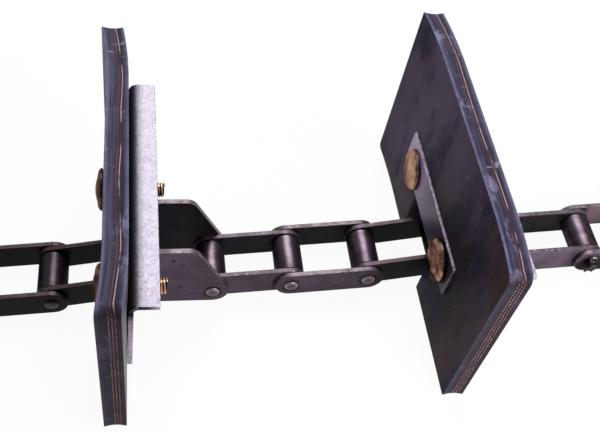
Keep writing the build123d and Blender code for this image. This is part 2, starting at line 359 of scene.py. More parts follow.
def riveted_pin():
    """Hardened pins: the hammered rim of each end is bright, and its flat crown has tempered brown."""
    material, tree, drawn, row = start_finish("riveted_pin_steel", Metallic=0.55)
    reach = pin_reach(tree, drawn)
    dents = add(tree, "TexNoise", {"Vector": row, "Scale": 1000 / 2, "Detail": 4.0})
    ragged = add(tree, "Math", {0: dents, 1: 1.2, 2: reach}, operation="MULTIPLY_ADD")
    colour = lay_over(tree, "#4a3e42", "#8c7e86", ragged, 2.7, 3.3)
    colour = lay_over(tree, colour, "#3c2c2a", dents, 0.55, 0.7, 0.7)
    # Painted shadow of the paddles, and grease round one cotter, blacken the pins.
    colour = lay_over(tree, colour, "#0a090a", paddle_shadow_and_grease(tree, row), 0.0, 1.0, 0.96)
    finish(tree, colour, dents, 0.12, dents, 0.3, 0.5)
    return material


def cover_rubber(name, specular):
    """Smooth moulded belt cover: brown-black rubber in purple patches, painted lighter upwards and towards
    the far end as painted light, with blue-black smears, dust, short pale scratches, a few specks and a
    darker patch round the front bolt. The back is polished by the belt press, and the front is matt."""
    material, tree, drawn, row = start_finish(name, Specular_IOR_Level=specular)
    bloom = add(tree, "TexNoise", {"Vector": drawn, "Scale": 1 / 34, "Detail": 5.0})
    colour = lay_over(tree, "#452f31", "#5a475b", bloom, 0.38, 0.62)
    _, y, z = add(tree, "SeparateXYZ", {0: drawn}, None)
    # Painted light: the cover grows lighter upwards and towards the far end.
    upper = add(tree, "Math", {0: y, 1: z}, operation="ADD")
    colour = lay_over(tree, colour, "#6c5b77", upper, 0.0, 90.0, 0.7)
    smears = streaks(tree, row, (34, 30, 15), 7.0, roughness=0.62)
    colour = lay_over(tree, colour, "#26283f", smears, 0.48, 0.58, 0.85)
    dust = add(tree, "TexNoise", {"Vector": drawn, "Scale": 0.12, "Detail": 7.0, "Roughness": 0.7})
    colour = lay_over(tree, colour, "#706078", dust, 0.54, 0.8, 0.4)
    scratches = streaks(tree, drawn, (0.6, 0.6, 0.09), 1.0, turn=(0.35, 0, 0))
    colour = lay_over(tree, colour, "#9a8fa0", scratches, 0.735, 0.77, 0.45)
    specks = add(tree, "TexVoronoi", {"Vector": drawn, "Scale": 1 / 14}, "Distance")
    colour = lay_over(tree, colour, "#b5aab5", specks, 0.05, 0.02, 0.6)
    # The cover is darker round the front bolt.
    bolt_patch = add(tree, "VectorMath", {0: drawn, 1: COVER_DARK_PATCH}, "Value", operation="DISTANCE")
    bolt_patch = add(tree, "Math", {0: smears, 1: 40.0, 2: bolt_patch}, operation="MULTIPLY_ADD")
    colour = lay_over(tree, colour, "#201c22", bolt_patch, 66.0, 40.0, 0.6)
    finish(tree, colour, dust, 0.15, smears, 0.42, 0.58, start=0.4)
    return material


def cut_rubber():
    """Knife-cut belt edge: rubber painted bluish grey as painted sheen, smooth, with painted highlights at
    the lips, most towards the front one, drag marks, pale scuffs and rubs across it. Along the top the blade
    laid one cord of a ply bare, as a wandering pinkish line. The short ends are darker, and cut the cords
    across, as rows of dots that fade upwards."""
    material, tree, drawn, row = start_finish("belt_cut_edge", Specular_IOR_Level=0.1)
    x, _, z = add(tree, "SeparateXYZ", {0: drawn}, None)
    on_end = add(tree, "Attribute", {}, "Fac", attribute_name="end_cut")
    patches = streaks(tree, row, (60, 90, 90), 6.0, roughness=0.6)
    # The bluish grey is painted sheen from the top light.
    colour = lay_over(tree, "#252335", "#43405e", patches, 0.36, 0.64)
    # Painted highlight towards the front lip.
    colour = lay_over(tree, colour, "#514f6e", x, PADDLE_FRONT + 5.4, PADDLE_FRONT + 3.6, 0.45)
    drags = streaks(tree, drawn, (1.1, 0.04, 0.04), 4.0)
    colour = lay_over(tree, colour, "#1e1b2b", drags, 0.42, 0.62, 0.8)
    from_middle = away_from(tree, x, (PADDLE_FRONT + PADDLE_REAR) / 2)
    # Painted highlight along both lips.
    lip = add(tree, "MapRange", {0: from_middle, 1: 3.4, 2: 4.9, 4: 1.2})
    lip = add(tree, "Math", {0: lip, 1: patches}, operation="MULTIPLY", use_clamp=True)
    colour = add(tree, "Mix", {0: lip, 6: colour, 7: "#73708d"}, 2, data_type="RGBA")
    scuffs = streaks(tree, row, (100, 60, 60), 9.0, turn=(0, 0, 0.5), roughness=0.66)
    colour = lay_over(tree, colour, "#85829f", scuffs, 0.56, 0.63, 0.65)
    across = streaks(tree, row, (70, 330, 330), 3.0, turn=(0, 0, 0.12))
    colour = lay_over(tree, colour, "#a5a0b5", across, 0.66, 0.74, 0.7)
    nicks = add(tree, "TexVoronoi", {"Vector": drawn, "Scale": 1 / 16}, "Distance")
    colour = lay_over(tree, colour, "#17141a", nicks, 0.11, 0.06, 0.9)
    colour = lay_over(tree, colour, "#241b21", on_end, 0.0, 1.0, 0.8)
    wandering = add(tree, "Mapping", {"Vector": row, "Scale": (5, 13, 13)})
    wander = add(tree, "TexNoise", {"Vector": wandering, "Scale": 1.0, "Detail": 2.0})
    wander = add(tree, "MapRange", {0: wander, 1: 0.3, 2: 0.7, 3: 0.2, 4: 2.6})
    depth = add(tree, "Math", {0: x, 1: wander}, operation="ADD")
    depth = add(tree, "Mix", {0: on_end, 2: depth, 3: x}, data_type="FLOAT")
    broken = add(tree, "TexNoise", {"Vector": wandering, "Scale": 3.6, "Detail": 5.0})
    broken = add(tree, "MapRange", {0: broken, 1: 0.4, 2: 0.47})
    frayed = add(tree, "TexNoise", {"Vector": row, "Scale": 1000 / 5, "Detail": 3.0})
    frayed = add(tree, "MapRange", {0: frayed, 1: 0.35, 2: 0.6, 3: 0.4, 4: 1.0})
    uneven = add(tree, "Math", {0: frayed, 1: 1.3, 2: z}, operation="MULTIPLY_ADD")
    cord = add(tree, "Math", {0: uneven, 1: 2 * pi / CORD_SPACING}, operation="MULTIPLY")
    lower = add(tree, "MapRange", {0: z, 1: PADDLE_TOP - 3, 2: PADDLE_TOP - 15, 3: 0.3})
    top = add(tree, "MapRange", {0: z, 1: PADDLE_TOP - 14, 2: PADDLE_TOP - 6, 4: 0.6})
    top = add(tree, "Math", {0: top, 1: on_end}, operation="MULTIPLY")
    colour = add(tree, "Mix", {0: top, 6: colour, 7: "#14161a"}, 2, data_type="RGBA")
    height = drags
    for ply_x, strength in PLIES:
        away = away_from(tree, depth, ply_x)
        line = add(tree, "MapRange", {0: away, 1: PLY_HALF, 2: PLY_HALF * 0.3})
        laid = times(tree, line, broken, strength)
        wave = add(tree, "Math", {0: cord, 1: ply_x * 2}, operation="ADD")
        wave = add(tree, "Math", {0: wave}, operation="SINE")
        dots = add(tree, "MapRange", {0: wave, 1: -0.5, 2: 0.3})
        dots = times(tree, dots, line, frayed, lower)
        bared = add(tree, "Mix", {0: on_end, 2: laid, 3: dots}, data_type="FLOAT")
        glue = add(tree, "MapRange", {0: away, 1: PLY_HALF * 4, 2: PLY_HALF * 1.5, 4: 0.8})
        glue = add(tree, "Math", {0: glue, 1: max(strength, 0.35)}, operation="MULTIPLY")
        colour = add(tree, "Mix", {0: glue, 6: colour, 7: "#35202b"}, 2, data_type="RGBA")
        thread = add(tree, "Mix", {0: on_end, 6: "#bd9aa4", 7: "#b59288"}, 2, data_type="RGBA")
        colour = add(tree, "Mix", {0: bared, 6: colour, 7: thread}, 2, data_type="RGBA")
        height = add(tree, "Math", {0: bared, 1: 1.5, 2: height}, operation="MULTIPLY_ADD")
    finish(tree, colour, height, 0.15, patches, 0.5, 0.65)
    return material


def galvanised():
    """Galvanised sheet steel: pale lilac-grey zinc, mottled and finely specked with dark pits, and a few
    stains. Its bend is painted dark as painted shade, darkest next to the paddle."""
    material, tree, drawn, _ = start_finish("galvanised_sheet", Metallic=0.2, Specular_IOR_Level=0.2)
    spangle = add(tree, "TexVoronoi", {"Vector": drawn, "Scale": 0.4}, "Color")
    tone = add(tree, "SeparateColor", {0: spangle})
    grain = add(tree, "TexNoise", {"Vector": drawn, "Scale": 0.9, "Detail": 4.0, "Roughness": 0.7})
    mottle = add(tree, "Math", {0: tone, 1: 0.15, 2: grain}, operation="MULTIPLY_ADD")
    colour = lay_over(tree, "#958d9e", "#c2bcc9", mottle, 0.42, 0.7)
    # The pits are a quarter of a millimetre across, and are drawn at four times that to show.
    pits = add(tree, "TexNoise", {"Vector": drawn, "Scale": 1.0, "Detail": 3.0})
    colour = lay_over(tree, colour, "#5f5766", pits, 0.58, 0.68, 0.65)
    stains = add(tree, "TexNoise", {"Vector": drawn, "Scale": 0.11, "Detail": 6.0, "Roughness": 0.65})
    colour = lay_over(tree, colour, "#7f7583", stains, 0.56, 0.74, 0.5)
    # Painted shade on the bend, darkest on the side next to the paddle.
    x, _, z = add(tree, "SeparateXYZ", {0: drawn}, None)
    ragged = add(tree, "Math", {0: grain, 1: 2.0, 2: x}, operation="MULTIPLY_ADD")
    share = add(tree, "MapRange", {0: ragged, 1: 7.6, 2: 0.6}, interpolation_type="SMOOTHSTEP")
    bend = add(tree, "MapRange", {0: z, 1: ANGLE_TOP - 12, 2: ANGLE_TOP - 6})
    share = add(tree, "Math", {0: share, 1: bend}, operation="MULTIPLY")
    colour = add(tree, "Mix", {0: share, 6: colour, 7: "#1a161d"}, 2, data_type="RGBA")
    finish(tree, colour, mottle, 0.06, mottle, 0.4, 0.6, start=0.4, full=0.9)
    return material


def rolled_bar():
    """Hot rolled flat bar with its purple-grey mill scale, painted paler towards its back end as painted
    sheen, and nearly black towards its front end as painted reflection of the dark chain."""
    material, tree, drawn, _ = start_finish("rolled_flat_bar", Metallic=0.1, Specular_IOR_Level=0.15)
    patches = streaks(tree, drawn, (0.07, 0.035, 0.07), 5.0)
    colour = lay_over(tree, "#6a5678", "#917aa4", patches, 0.35, 0.68)
    _, y, _ = add(tree, "SeparateXYZ", {0: drawn}, None)
    # Painted sheen towards the back end.
    colour = lay_over(tree, colour, "#d6bee0", y, 2.0, 30.0)
    # Painted reflection of the dark chain towards the front end.
    colour = lay_over(tree, colour, "#17151a", y, 16.0, -26.0, 0.96)
    grain = streaks(tree, drawn, (1.4, 0.28, 1.4), 4.0)
    finish(tree, colour, grain, 0.03, grain, 0.3, 0.44)
    return material


def bar_edge():
    """The bar's rubbed edges: bare steel, bright lilac-grey, with dark nicks."""
    material, tree, drawn, _ = start_finish("rubbed_bar_edge", Metallic=0.6)
    nicks = add(tree, "TexNoise", {"Vector": drawn, "Scale": 0.45, "Detail": 5.0})
    colour = lay_over(tree, "#6a5f70", "#b3a6b8", nicks, 0.36, 0.55)
    finish(tree, colour, nicks, 0.1)
    return material


def yellow_zinc(name, dark, mid, light, roughness):
    """Yellow passivated zinc plate: bronze with drifts of gold and brown. The front ones are darker on their
    lower side, those of the first paddle carry painted shade, and painted shade lies under every head's rim."""
    material, tree, drawn, row = start_finish(name, Metallic=0.85, Specular_Tint=srgb("#a58f86"))
    drift = add(tree, "TexNoise", {"Vector": row, "Scale": 1000 / 9, "Detail": 5.0, "Roughness": 0.6})
    colour = lay_over(tree, dark, mid, drift, 0.36, 0.54)
    colour = lay_over(tree, colour, light, drift, 0.58, 0.68, 0.85)
    depth, y, z = add(tree, "SeparateXYZ", {0: drawn}, None)
    # The front ones are darker on their lower side.
    front = add(tree, "Math", {0: y, 1: 0.0}, operation="LESS_THAN")
    share = add(tree, "Math", {0: drift, 1: 8.0, 2: z}, operation="MULTIPLY_ADD")
    share = add(tree, "MapRange", {0: share, 1: 29.2, 2: 27.2, 4: 0.94})
    share = add(tree, "Math", {0: share, 1: front}, operation="MULTIPLY")
    # Painted shade on the first paddle's bolt heads.
    x, _, _ = add(tree, "SeparateXYZ", {0: row}, None)
    shade_pattern = add(tree, "MapRange", {0: x, 1: FIRST_PADDLE_HEAD_SHADE[0], 2: FIRST_PADDLE_HEAD_SHADE[1], 4: 0.6})
    share = add(tree, "Math", {0: share, 1: shade_pattern}, operation="MAXIMUM")
    # Painted shade under each head's rim, next to the strap.
    rim = add(tree, "Math", {0: depth, 1: STRAP_FRONT - 0.7, 2: 0.7}, operation="COMPARE")
    rim = add(tree, "Math", {0: rim, 1: 0.85}, operation="MULTIPLY")
    share = add(tree, "Math", {0: share, 1: rim}, operation="MAXIMUM")
    colour = add(tree, "Mix", {0: share, 6: colour, 7: "#1a1210"}, 2, data_type="RGBA")
    grain = add(tree, "TexNoise", {"Vector": drawn, "Scale": 1.6, "Detail": 4.0})
    finish(tree, colour, grain, 0.04, grain, roughness - 0.06, roughness + 0.1)
    return material


def zinc_thread():
    """The rolled thread under the same plating: coppery crests that shine, and nearly black roots."""
    material, tree, drawn, _ = start_finish("yellow_zinc_thread", Metallic=0.6, Roughness=0.26)
    _, y, z = add(tree, "SeparateXYZ", {0: drawn}, None)
    side = add(tree, "Math", {0: y}, operation="ABSOLUTE")
    side = add(tree, "Math", {0: side, 1: BOLT_Y}, operation="SUBTRACT")
    up = add(tree, "Math", {0: z, 1: BOLT_Z}, operation="SUBTRACT")
    spoke = add(tree, "CombineXYZ", {0: side, 1: up})
    radius = add(tree, "VectorMath", {0: spoke}, "Value", operation="LENGTH")
    share = add(tree, "MapRange", {0: radius, 1: THREAD_ROOT_R + 0.1, 2: BOLT_R - 0.1})
    tint = add(tree, "TexNoise", {"Vector": drawn, "Scale": 0.3, "Detail": 3.0})
    tint = add(tree, "MapRange", {0: tint, 1: 0.4, 2: 0.6})
    crest = add(tree, "Mix", {0: tint, 6: "#e39c69", 7: "#f6c89a"}, 2, data_type="RGBA")
    colour = add(tree, "Mix", {0: share, 6: "#1c0f0a", 7: crest}, 2, data_type="RGBA")
    finish(tree, colour, radius, 0.02)
    return material


PLATE_STEEL = heat_treated_plate()
INSIDE = painted_shade_inside()
EDGE = worn_edge("worn_outer_edge", "#564850", "#7d6e76")
INNER_EDGE = worn_edge("worn_inner_edge", "#40363f", "#655463")
ROLLER_STEEL = turned_steel("hardened_roller_steel", "#433a42", "#5e535d", 0.85, (0.04, 1, 0.04), 0.36)
BUSH_STEEL = turned_steel("hardened_bush_steel", "#453b42", "#5c5058", 0.8, (0.04, 1, 0.04), 0.4)
PIN_STEEL = riveted_pin()
WIRE = turned_steel("drawn_cotter_wire", "#8c8288", "#c4b8bc", 0.9, (1, 1, 1), 0.32)
COVER = cover_rubber("belt_front_cover", 0.03)
BACK_COVER = cover_rubber("belt_back_cover", 0.45)
CUT = cut_rubber()
ZINC_SHEET = galvanised()
FLAT_BAR = rolled_bar()
BAR_EDGE = bar_edge()
BOLT_ZINC = yellow_zinc("yellow_zinc_bolt", "#6c4c40", "#c39a86", "#d8b765", 0.3)
THREAD_ZINC = zinc_thread()
NUT_ZINC = yellow_zinc("yellow_zinc_nut", "#6e5a48", "#988064", "#b09c60", 0.36)


# Drawing tools

def run_to(bm, vert, x, z):
    """A straight run of the outline to (x, z)."""
    end = bm.verts.new((x, vert.co.y, z))
    bm.edges.new((vert, end))
    return end


def arc_to(bm, vert, centre_x, centre_z, turn, steps):
    """Carries the outline round a centre. A positive turn goes from +Z to +X."""
    made = bmesh.ops.spin(bm, geom=[vert], cent=(centre_x, vert.co.y, centre_z), axis=(0, 1, 0), angle=turn,
                          steps=steps)
    return made["geom_last"][0]


def close_outline(bm):
    bmesh.ops.remove_doubles(bm, verts=bm.verts, dist=0.005)
    loose = [v for v in bm.verts if len(v.link_edges) == 1]
    if len(loose) == 2:
        bm.edges.new(loose)


def pin_holes(bm, y, radius):
    for pin_x in (0, PITCH):
        place = Matrix.Translation((pin_x, y, 0)) @ Matrix.Rotation(pi / 2, 4, "X")
        bmesh.ops.create_circle(bm, segments=BORE_FACETS, radius=radius, matrix=place)


def thicken(bm, vector):
    """Fills the outline, holes left open, and gives it a thickness."""
    faces = bmesh.ops.triangle_fill(bm, use_beauty=True, edges=bm.edges[:])["geom"]
    faces = [f for f in faces if isinstance(f, bmesh.types.BMFace)]
    grown = bmesh.ops.extrude_face_region(bm, geom=faces)["geom"]
    bmesh.ops.translate(bm, verts=[g for g in grown if isinstance(g, bmesh.types.BMVert)], vec=vector)
    bmesh.ops.recalc_face_normals(bm, faces=bm.faces)


def face_at(bm, point):
    return min(bm.faces, key=lambda f: (f.calc_center_median() - Vector(point)).length)


def pull(bm, face, vector):
    """Extrudes a face along a vector and returns the moved face."""
    grown = bmesh.ops.extrude_face_region(bm, geom=[face])["geom"]
    bmesh.ops.translate(bm, verts=[g for g in grown if isinstance(g, bmesh.types.BMVert)], vec=vector)
    return next(g for g in grown if isinstance(g, bmesh.types.BMFace))


def swing(bm, face, centre, axis, turn, steps):
    """Carries a face round an axis, as a press brake bends a sheet, and returns the moved face."""
    made = bmesh.ops.spin(bm, geom=[face], cent=centre, axis=axis, angle=turn, steps=steps)
    return next(g for g in made["geom_last"] if isinstance(g, bmesh.types.BMFace))


def slice_at(bm, point, normal):
    """Cuts the whole drawing along a plane, to leave a row of edges there."""
    bmesh.ops.bisect_plane(bm, geom=bm.verts[:] + bm.edges[:] + bm.faces[:], plane_co=point, plane_no=normal,
                           dist=0.0001)


def sharp_edges(bm):
    return [e for e in bm.edges if e.is_manifold and e.calc_face_angle() > BREAK_ANGLE]


def break_edges(bm, size, edges, segments=3):
    """Rounds edges off."""
    bmesh.ops.bevel(bm, geom=edges, offset=size, offset_type="OFFSET", segments=segments, profile=0.5,
                    affect="EDGES", material=-1, clamp_overlap=True)


def revolve(bm, outline, steps, turn=Matrix.Identity(4), closed=False):
    """Spins an outline of (radius, y) points a full turn about the Y axis, then puts the result in place."""
    before = set(bm.verts)
    points = [bm.verts.new((radius, y, 0)) for radius, y in outline]
    edges = [bm.edges.new(pair) for pair in zip(points, points[1:])]
    if closed:
        edges.append(bm.edges.new((points[-1], points[0])))
    bmesh.ops.spin(bm, geom=points + edges, cent=(0, 0, 0), axis=(0, 1, 0), angle=2 * pi, steps=steps,
                   use_merge=True)
    made = [v for v in bm.verts if v not in before]
    bmesh.ops.remove_doubles(bm, verts=made, dist=0.002)
    made = [v for v in bm.verts if v not in before]
    bmesh.ops.transform(bm, matrix=turn, verts=made)


def flip_to_front(bm):
    bmesh.ops.scale(bm, vec=(1, -1, 1), verts=bm.verts)


def paint_plate(bm, inside_y):
    """Sorts a plate's faces: scale outside, painted shade inside, bare steel on the sheared edges."""
    for face in bm.faces:
        across = abs(face.normal.y)
        middle = face.calc_center_median()
        if across < 0.75:
            face.material_index = 2
        elif abs(abs(middle.y) - inside_y) < 0.5:
            face.material_index = 1
        else:
            face.material_index = 0


def paint_wing(bm):
    """The wing's broad faces are scaled like the plate, and only its rim is bare."""
    for face in bm.faces:
        middle = face.calc_center_median()
        if abs(middle.y) > OUTSIDE - 0.1 and abs(face.normal.z) < 0.6 and abs(middle.y) < WING_TIP - 0.4:
            face.material_index = 0


def in_scene(name, data):
    """A new object of the scene."""
    made = bpy.data.objects.new(name, data)
    bpy.context.scene.collection.objects.link(made)
    return made


def make_piece(bm, name, place, body, nodes, finishes):
    """Keeps the drawn millimetres for the patterns, puts the drawing in place and makes it a link's piece."""
    if "drawn" not in bm.verts.layers.float_vector:
        drawn = bm.verts.layers.float_vector.new("drawn")
        for vert in bm.verts:
            vert[drawn] = vert.co
    bmesh.ops.recalc_face_normals(bm, faces=bm.faces)
    bmesh.ops.transform(bm, matrix=place, verts=bm.verts)
    mesh = bpy.data.meshes.new(name)
    bm.to_mesh(mesh)
    bm.free()
    for material in finishes:
        mesh.materials.append(material)
    for polygon in mesh.polygons:
        polygon.use_smooth = True
    mesh.set_sharp_from_angle(angle=radians(CREASE))
    piece = in_scene(name, mesh)
    even = piece.modifiers.new("even_shading", "WEIGHTED_NORMAL")
    even.keep_sharp = True
    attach(piece, body)
    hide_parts(*nodes)


# Chain pieces

def slot_plate(face_y, bore_r):
    """A straight link plate on the +Y side, with its inside at face_y."""
    bm = bmesh.new()
    vert = bm.verts.new((0, face_y, -PLATE_R))
    vert = arc_to(bm, vert, 0, 0, pi, 28)
    vert = run_to(bm, vert, PITCH, PLATE_R)
    arc_to(bm, vert, PITCH, 0, pi, 28)
    close_outline(bm)
    pin_holes(bm, face_y, bore_r)
    thicken(bm, (0, PLATE_T, 0))
    break_edges(bm, PLATE_BREAK, [e for e in sharp_edges(bm) if not in_bore(e, bore_r)])
    return bm


def in_bore(edge, bore_r):
    """True for an edge of a pin hole."""
    middle = (edge.verts[0].co + edge.verts[1].co) / 2
    return min(hypot(middle.x - pin_x, middle.z) for pin_x in (0, PITCH)) < bore_r + 0.3


def inner_plate():
    return slot_plate(INNER_FACE, BUSH_R)


def outer_plate():
    return slot_plate(OUTER_FACE, PIN_R)


def attachment_plate():
    """An outer plate that rises to an ear and turns outwards into a wing."""
    bm = bmesh.new()
    low = LEAN @ Vector((BEND_END, 0, EAR_BOTTOM))
    high = LEAN @ Vector((BEND_END, 0, EAR_TOP))
    neck_turn = atan2(low.z, low.x) + acos(PLATE_R / hypot(low.x, low.z))
    slope = radians(EAR_SLOPE)
    corner_z = EAR_TOP - EAR_CORNER_R
    corner_x = PITCH + (PLATE_R - EAR_CORNER_R - corner_z * cos(slope)) / sin(slope)
    vert = bm.verts.new((0, OUTER_FACE, -PLATE_R))
    vert = arc_to(bm, vert, 0, 0, 1.5 * pi - neck_turn, 22)
    vert = run_to(bm, vert, low.x, low.z)
    vert = run_to(bm, vert, high.x, high.z)
    vert = run_to(bm, vert, corner_x, EAR_TOP)
    vert = arc_to(bm, vert, corner_x, corner_z, slope, 12)
    right = run_to(bm, vert, PITCH + PLATE_R * sin(slope), PLATE_R * cos(slope))
    arc_to(bm, right, PITCH, 0, pi - slope, 24)
    close_outline(bm)
    pin_holes(bm, OUTER_FACE, PIN_R)
    thicken(bm, (0, PLATE_T, 0))
    edge_face = face_at(bm, ((low.x + high.x) / 2, OUTER_FACE + PLATE_T / 2, (low.z + high.z) / 2))
    bend_y = OUTSIDE + BEND_R
    fold = LEAN.to_3x3() @ Vector((0, 0, 1))
    bent = swing(bm, edge_face, (low.x, bend_y, low.z), fold, -pi / 2, BEND_FACETS)
    tip = pull(bm, bent, (0, WING_TIP - bend_y, 0))
    corners = [e for e in tip.edges if abs((e.verts[0].co - e.verts[1].co).normalized().x) > 0.9]
    break_edges(bm, WING_CORNER_R, corners, segments=6)
    break_edges(bm, PLATE_BREAK, [e for e in sharp_edges(bm) if not in_bore(e, PIN_R)])
    return bm


def both_ends(end):
    """A closed outline from its front end, which is mirrored for the back one."""
    return end + [(r, -y) for r, y in reversed(end)]


def at_both_pins(outline, closed=False):
    bm = bmesh.new()
    for pin_x in (0, PITCH):
        revolve(bm, outline, PIN_FACETS, Matrix.Translation((pin_x, 0, 0)), closed=closed)
    return bm


def roller():
    bm = bmesh.new()
    ends = [(ROLLER_BORE_R, -ROLLER_HALF + 0.3), (ROLLER_BORE_R + 0.3, -ROLLER_HALF),
            (ROLLER_R - 0.7, -ROLLER_HALF), (ROLLER_R - 0.2, -ROLLER_HALF + 0.2),
            (ROLLER_R, -ROLLER_HALF + 0.7)]
    revolve(bm, both_ends(ends), ROLLER_FACETS, closed=True)
    return bm


def bushes():
    half = INNER_FACE + PLATE_T
    bore = PIN_R + PIN_SLIP
    ends = [(bore, -half + 0.35), (bore + 0.35, -half), (BUSH_R - 0.25, -half), (BUSH_R, -half + 0.25)]
    return at_both_pins(both_ends(ends), closed=True)


def rivet_end():
    """A pin's riveted end as (radius, y): its rim on the plate, a hammered bevel and a nearly flat crown."""
    return [(RIVET_R - 0.5, RIVET_SEAT), (RIVET_R - 0.1, OUTSIDE + 0.1), (RIVET_R, OUTSIDE + 0.3),
            (RIVET_R - 0.08, OUTSIDE + 0.46), (RIVET_R - 0.75, OUTSIDE + 0.96),
            (RIVET_R - 0.95, OUTSIDE + 1.04), (RIVET_R - 1.3, OUTSIDE + 1.09),
            (1.0, OUTSIDE + RIVET_H - 0.02), (0, OUTSIDE + RIVET_H)]


def riveted_pins():
    back = [(PIN_R, RIVET_SEAT)] + rivet_end()
    front = [(r, -y) for r, y in reversed(back)]
    return at_both_pins(front + back)


def cottered_pins():
    """Pins that are riveted behind and stand out in front, where a cotter holds the loose plate on."""
    tip = -OUTSIDE - PIN_TAIL
    front = [(0, tip + 0.12), (PIN_R - 1.1, tip + 0.06), (PIN_R - PIN_TIP_BREAK, tip),
             (PIN_R - 0.15, tip + 0.35), (PIN_R, tip + PIN_TIP_BREAK + 0.2)]
    return at_both_pins(front + [(PIN_R, RIVET_SEAT)] + rivet_end())


def cotters():
    """Split cotters of round wire: an eye above the pin, two legs through it, spread below."""
    bm = bmesh.new()
    leg_x = COTTER_R + 0.05
    top = PIN_R + 2 * COTTER_R
    bottom = top - COTTER_LEG
    eye_z = top + sqrt(COTTER_EYE_R ** 2 - leg_x ** 2)
    opening = asin(leg_x / COTTER_EYE_R)
    y = -OUTSIDE - PIN_TAIL + COTTER_INSET
    for pin_x in (0, PITCH):
        before = set(bm.faces)
        place = Matrix.Translation((pin_x + leg_x, y, top))
        bmesh.ops.create_circle(bm, cap_ends=True, segments=12, radius=COTTER_R, matrix=place)
        wire_end = next(f for f in bm.faces if f not in before)
        wire_end = swing(bm, wire_end, (pin_x, y, eye_z), (0, 1, 0), -(2 * pi - 2 * opening), 28)
        leg = pull(bm, wire_end, (0, 0, bottom - top))
        spread_leg(bm, leg, -1)
        first = next(f for f in bm.faces if f not in before
                     and (f.calc_center_median() - place.translation).length < 0.01)
        leg = pull(bm, first, (0, 0, bottom - top))
        spread_leg(bm, leg, 1)
    return bm


def spread_leg(bm, face, side):
    """Bends a cotter's leg outwards by 45 degrees and ends it."""
    centre = face.calc_center_median()
    pivot = (centre.x + side * COTTER_BEND_R, centre.y, centre.z)
    turned = swing(bm, face, pivot, (0, 1, 0), -side * pi / 4, 4)
    slant = COTTER_TOE * 0.7
    pull(bm, turned, (side * slant, 0, -slant))


# Paddle pieces

def paddle():
    """A slab of ply belting: cut to its outline, its edges dished by the knife, its ends curled forwards."""
    bm = bmesh.new()
    corners = [(-PADDLE_HALF, PADDLE_BOTTOM), (-PADDLE_HALF, PADDLE_TOP), (PADDLE_HALF, PADDLE_TOP),
               (PADDLE_HALF, PADDLE_BOTTOM), (NOTCH_HALF, PADDLE_BOTTOM), (NOTCH_HALF, NOTCH_TOP),
               (-NOTCH_HALF, NOTCH_TOP), (-NOTCH_HALF, PADDLE_BOTTOM)]
    verts = [bm.verts.new((PADDLE_FRONT, y, z)) for y, z in corners]
    bm.faces.new(verts)
    bm.verts.ensure_lookup_table()
    for picked, radius in (([verts[0], verts[2]], CUT_CORNER_R), ([verts[1]], FRONT_TOP_R),
                           ([verts[3]], BACK_BOTTOM_R), (verts[5:7], NOTCH_R),
                           ([verts[4], verts[7]], FOOT_CORNER_R)):
        bmesh.ops.bevel(bm, geom=picked, offset=radius, offset_type="OFFSET", segments=8, profile=0.5,
                        affect="VERTICES", material=-1)
    pull(bm, bm.faces[:][0], (PADDLE_REAR - PADDLE_FRONT, 0, 0))
    bmesh.ops.recalc_face_normals(bm, faces=bm.faces)
    end_cut = bm.verts.layers.float.new("end_cut")
    rows = [PADDLE_FRONT + 0.35, PADDLE_FRONT + 1.0, PADDLE_FRONT + 2.2, PADDLE_FRONT + 4.0,
            PADDLE_REAR - 1.0, PADDLE_REAR - 0.35]
    for cut_x in rows + [x + away for x, _ in PLIES for away in (-0.45, 0, 0.45)]:
        slice_at(bm, (cut_x, 0, 0), (1, 0, 0))
    dish(bm, end_cut)
    for cut_y in range(-80, 81, 5):
        slice_at(bm, (0, cut_y, 0), (0, 1, 0))
    for cut_z in range(-10, 90, 10):
        slice_at(bm, (0, 0, cut_z), (0, 0, 1))
    drawn = bm.verts.layers.float_vector.new("drawn")
    for vert in bm.verts:
        vert[drawn] = vert.co
    for face in bm.faces:
        face.material_index = 1 if abs(face.normal.x) < 0.8 else 0 if face.normal.x < 0 else 2
    curl(bm)
    return bm


def dish(bm, end_cut):
    """Moves the cut walls in between their lips, and each ply's line a little out again."""
    middle = (PADDLE_FRONT + PADDLE_REAR) / 2
    half = (PADDLE_REAR - PADDLE_FRONT) / 2
    moves = {}
    for vert in bm.verts:
        walls = [f.normal for f in vert.link_faces if abs(f.normal.x) < 0.5]
        outward = sum(walls, Vector())
        outward.x = 0
        if not walls or outward.length < 1e-6:
            continue
        outward.normalize()
        vert[end_cut] = abs(outward.y)
        x = vert.co.x
        depth = DISH_DEPTH * (1 - ((x - middle) / half) ** 2)
        if min(x - PADDLE_FRONT, PADDLE_REAR - x) < 0.01:
            depth = LIP_DEPTH
        if min(abs(x - ply_x) for ply_x, _ in PLIES) < 0.01:
            depth -= PLY_RIDGE
        moves[vert] = outward * -depth
    for vert, move in moves.items():
        vert.co += move


def curl(bm):
    """Bends both ends forwards along a wide arc: fully at the top, less at the far foot and not at all at the
    near one."""
    for vert in bm.verts:
        past = abs(vert.co.y) - PADDLE_FLAT
        if past > 0:
            height = (vert.co.z - PADDLE_BOTTOM) / (PADDLE_TOP - PADDLE_BOTTOM)
            forward = PADDLE_CURL_R - sqrt(PADDLE_CURL_R ** 2 - past ** 2)
            least = FAR_FOOT_CURL if vert.co.y > 0 else 0.0
            vert.co.x -= forward * (least + (1 - least) * height)


